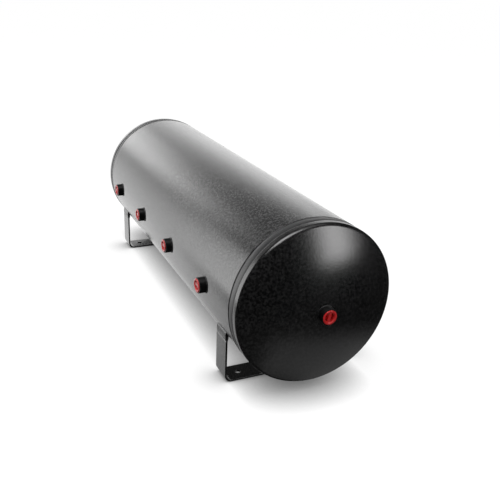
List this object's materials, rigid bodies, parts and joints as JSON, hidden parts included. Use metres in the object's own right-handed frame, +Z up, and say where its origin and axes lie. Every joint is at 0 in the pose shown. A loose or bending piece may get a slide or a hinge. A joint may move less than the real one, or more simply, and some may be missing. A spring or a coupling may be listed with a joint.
{
  "type": "air receiver tank",
  "caption": "Horizontal steel air receiver on two welded U brackets, with dished heads, threaded bungs along one side and at the ends, and push-in plugs.",
  "frame": {"origin": "on the mounting plane under the brackets, below the middle of the tank's box", "axes": "+X along the tank's axis towards the right head, -Y towards the row of side ports, +Z up"},
  "size_m": [0.673, 0.2146, 0.2192],
  "materials": {
    "shell_paint": "satin black powder coat with a fine texture",
    "head_paint": "satin black powder coat",
    "weld_paint": "black powder coat over a rippled weld bead",
    "bung_paint": "satin black powder coat on a turned collar",
    "bracket_paint": "satin black powder coat on flat strap",
    "plug_plastic": "semi-gloss red moulded plastic"
  },
  "bodies": {
    "tank": {"shell": "shell_paint", "seam_weld": "weld_paint", "right_head": "head_paint", "left_head": "head_paint", "right_girth_weld": "weld_paint", "left_girth_weld": "weld_paint", "right_bracket": "bracket_paint", "left_bracket": "bracket_paint", "right_bracket_front_weld": "weld_paint", "right_bracket_back_weld": "weld_paint", "left_bracket_front_weld": "weld_paint", "left_bracket_back_weld": "weld_paint", "side_1_bung": "bung_paint", "side_1_bung_weld": "weld_paint", "side_2_bung": "bung_paint", "side_2_bung_weld": "weld_paint", "side_3_bung": "bung_paint", "side_3_bung_weld": "weld_paint", "side_4_bung": "bung_paint", "side_4_bung_weld": "weld_paint", "drain_bung": "bung_paint", "drain_bung_weld": "weld_paint", "right_end_bung": "bung_paint", "right_end_bung_weld": "weld_paint", "left_end_bung": "bung_paint", "left_end_bung_weld": "weld_paint"},
    "side_1_plug": {"side_1_plug": "plug_plastic"},
    "side_2_plug": {"side_2_plug": "plug_plastic"},
    "side_3_plug": {"side_3_plug": "plug_plastic"},
    "side_4_plug": {"side_4_plug": "plug_plastic"},
    "drain_plug": {"drain_plug": "plug_plastic"},
    "right_end_plug": {"right_end_plug": "plug_plastic"},
    "left_end_plug": {"left_end_plug": "plug_plastic"}
  },
  "joints": [
    {"name": "side_1_plug_pull", "type": "slide", "parent": "tank", "child": "side_1_plug", "axis": [0, -1, 0], "range_m": [0, 0.022]},
    {"name": "side_2_plug_pull", "type": "slide", "parent": "tank", "child": "side_2_plug", "axis": [0, -1, 0], "range_m": [0, 0.022]},
    {"name": "side_3_plug_pull", "type": "slide", "parent": "tank", "child": "side_3_plug", "axis": [0, -1, 0], "range_m": [0, 0.022]},
    {"name": "side_4_plug_pull", "type": "slide", "parent": "tank", "child": "side_4_plug", "axis": [0, -1, 0], "range_m": [0, 0.022]},
    {"name": "drain_plug_pull", "type": "slide", "parent": "tank", "child": "drain_plug", "axis": [0, 0, -1], "range_m": [0, 0.022]},
    {"name": "right_end_plug_pull", "type": "slide", "parent": "tank", "child": "right_end_plug", "axis": [1, 0, 0], "range_m": [0, 0.022]},
    {"name": "left_end_plug_pull", "type": "slide", "parent": "tank", "child": "left_end_plug", "axis": [-1, 0, 0], "range_m": [0, 0.022]}
  ]
}
